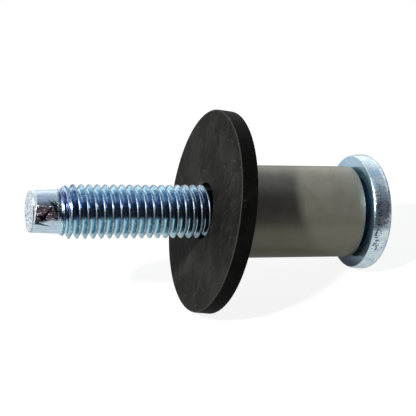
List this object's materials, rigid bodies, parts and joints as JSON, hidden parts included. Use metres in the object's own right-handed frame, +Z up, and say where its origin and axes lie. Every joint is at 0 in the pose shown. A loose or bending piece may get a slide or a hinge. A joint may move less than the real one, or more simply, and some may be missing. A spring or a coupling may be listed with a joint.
{
  "type": "striker pin bolt with sleeve and washer",
  "caption": "Headed locking pin bolt with a dog point and a right-hand thread, a turning steel sleeve on its plain shank and a large flat washer.",
  "frame": {"origin": "middle of the part's box, on the surface that it lies on", "axes": "+X towards the head, along the bolt's axis seen from above; +Z up from the surface that the washer's rim and the head's rim lie on; the dog point is at -X, raised"},
  "size_m": [0.0676, 0.0378, 0.0363],
  "materials": {
    "zinc_plate": "bright blue-passivated zinc plate over steel, glossy on the thread and mottled on the head's rim",
    "satin_steel": "satin olive-grey steel, fine turned finish",
    "black_phosphate": "black oiled phosphate, slightly glossy"
  },
  "bodies": {
    "bolt": {"bolt": "zinc_plate", "washer": "black_phosphate"},
    "sleeve": {"sleeve": "satin_steel"}
  },
  "joints": [
    {"name": "sleeve_spin", "type": "hinge", "parent": "bolt", "child": "sleeve", "pos_m": [0.01471, 0, 0.01448], "axis": [0.9706, 0, -0.2408], "continuous": true}
  ]
}
